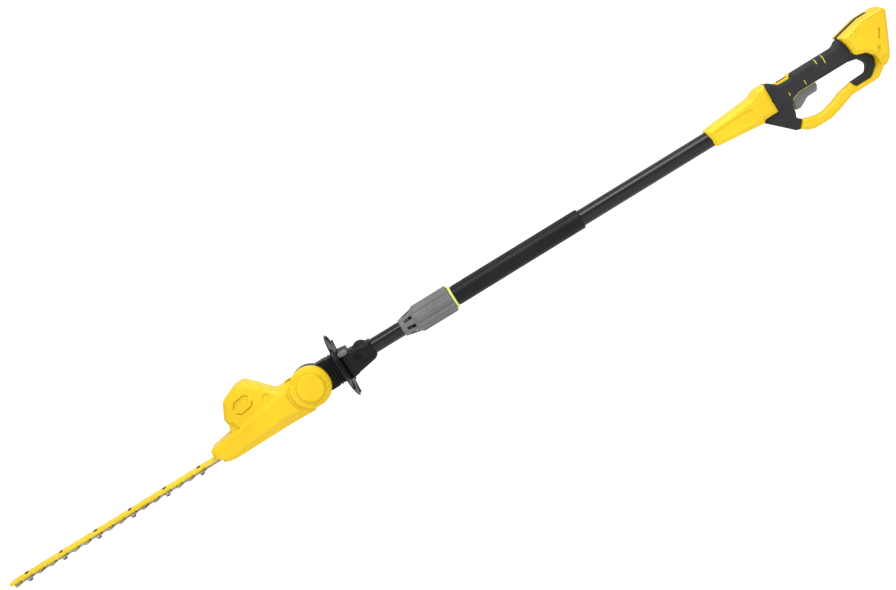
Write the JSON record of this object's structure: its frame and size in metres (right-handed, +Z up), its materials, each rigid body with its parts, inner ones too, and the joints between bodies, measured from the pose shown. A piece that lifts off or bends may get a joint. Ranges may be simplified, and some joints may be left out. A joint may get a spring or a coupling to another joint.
{
  "type": "pole hedge trimmer",
  "caption": "Cordless telescopic pole hedge trimmer with a tilting double-sided blade head, a branch guard, a twist-lock pole and a D-shaped trigger handle",
  "frame": {"origin": "on the pole axis, in the middle of the bare outer tube", "axes": "+X along the pole towards the rear handle, +Z up towards the lock-off button, -Y the left side"},
  "size_m": [1.9489, 0.132, 0.1614],
  "materials": {
    "yellow_shell": "semi-gloss moulded",
    "black_moulding": "fine texture",
    "soft_grip": "matte",
    "grey_moulding": "satin",
    "pole": "black anodised, glossy",
    "blade_steel": "ground",
    "dark_steel": "black oxide",
    "carrier_paint": "gloss paint",
    "casting": "die cast",
    "copper": "bright",
    "zinc": "zinc plated",
    "board": "lacquered"
  },
  "bodies": {
    "handle": {"outer_tube": "pole", "soft_sleeve": "soft_grip", "collar_socket": "carrier_paint", "collet": "black_moulding", "front_housing_left": "yellow_shell", "front_housing_right": "yellow_shell", "pole_clamp": "casting", "grip_shell_left": "soft_grip", "grip_shell_right": "soft_grip", "rear_housing_left": "yellow_shell", "rear_housing_right": "yellow_shell", "battery_dock": "black_moulding", "battery_contacts": "copper", "trigger_pin": "zinc", "switch": "black_moulding", "trigger_spring": "zinc", "lock_off_bezel": "carrier_paint", "lock_off_spring": "zinc", "spring_seat": "black_moulding", "controller_board": "board", "housing_screws": "zinc"},
    "collar": {"twist_collar": "grey_moulding"},
    "inner_pole": {"inner_tube": "pole", "inner_tube_bush": "black_moulding", "neck_knuckle": "black_moulding", "guard_disc": "black_moulding", "coupler_left": "black_moulding", "coupler_right": "black_moulding", "coupler_screws": "zinc"},
    "tilt_button": {"tilt_release_button": "grey_moulding"},
    "head": {"head_shell_left": "yellow_shell", "head_shell_right": "yellow_shell", "head_screws": "zinc", "motor_can": "zinc", "gearbox_housing": "casting", "gearbox_cover": "casting", "gear_bearing": "blade_steel", "blade_carrier": "carrier_paint", "blade_bolts": "dark_steel", "blade_nuts": "dark_steel", "pivot_bolt": "zinc", "pivot_nut": "zinc", "pivot_cap_left": "yellow_shell", "pivot_cap_right": "yellow_shell"},
    "rotor": {"motor_rotor": "zinc"},
    "crank_gear": {"drive_gear": "blade_steel"},
    "blade_top": {"upper_blade": "blade_steel"},
    "blade_bottom": {"lower_blade": "blade_steel"},
    "trigger_lever": {"trigger": "grey_moulding"},
    "plunger": {"switch_plunger": "grey_moulding"},
    "lock_off": {"lock_off_button": "black_moulding"}
  },
  "joints": [
    {"name": "collar_twist", "type": "hinge", "parent": "handle", "child": "collar", "pos_m": [-0.48, 0, 0], "axis": [1, 0, 0], "range_deg": [0, 90]},
    {"name": "pole_length", "type": "slide", "parent": "handle", "child": "inner_pole", "axis": [-1, 0, 0], "range_m": [0, 0.48]},
    {"name": "tilt_release_press", "type": "slide", "parent": "inner_pole", "child": "tilt_button", "axis": [0, 1, 0], "range_m": [0, 0.003], "stiffness_N_per_m": 900, "springref_m": -0.002},
    {"name": "head_tilt", "type": "hinge", "parent": "inner_pole", "child": "head", "pos_m": [-0.7335, 0, 0], "axis": [0, 1, 0], "range_deg": [-75, 75]},
    {"name": "gear_spin", "type": "hinge", "parent": "head", "child": "crank_gear", "pos_m": [-0.8822, 0, 0], "axis": [0, 0, 1], "continuous": true},
    {"name": "rotor_spin", "type": "hinge", "parent": "head", "child": "rotor", "pos_m": [-0.859, 0, 0], "axis": [0, 0, 1], "continuous": true},
    {"name": "upper_blade_stroke", "type": "slide", "parent": "head", "child": "blade_top", "axis": [-1, 0, 0], "range_m": [-0.008, 0.008]},
    {"name": "lower_blade_stroke", "type": "slide", "parent": "head", "child": "blade_bottom", "axis": [-1, 0, 0], "range_m": [-0.008, 0.008]},
    {"name": "trigger_pull", "type": "hinge", "parent": "handle", "child": "trigger_lever", "pos_m": [0.316, 0, -0.005], "axis": [0, -1, 0], "range_deg": [0, 6], "stiffness_Nm_per_rad": 0.8, "springref_deg": -6.88, "deforming": ["trigger_spring"]},
    {"name": "plunger_push", "type": "slide", "parent": "handle", "child": "plunger", "axis": [0, 0, 1], "range_m": [0, 0.0034]},
    {"name": "lock_off_press", "type": "slide", "parent": "handle", "child": "lock_off", "axis": [0, 0, -1], "range_m": [0, 0.003], "stiffness_N_per_m": 700, "springref_m": -0.002, "deforming": ["lock_off_spring"]}
  ],
  "couplings": [
    {"joint": "rotor_spin", "follows": "gear_spin", "ratio": -4.8},
    {"joint": "lower_blade_stroke", "follows": "upper_blade_stroke", "ratio": -1},
    {"joint": "plunger_push", "follows": "trigger_pull", "m_per_rad": 0.0311}
  ]
}
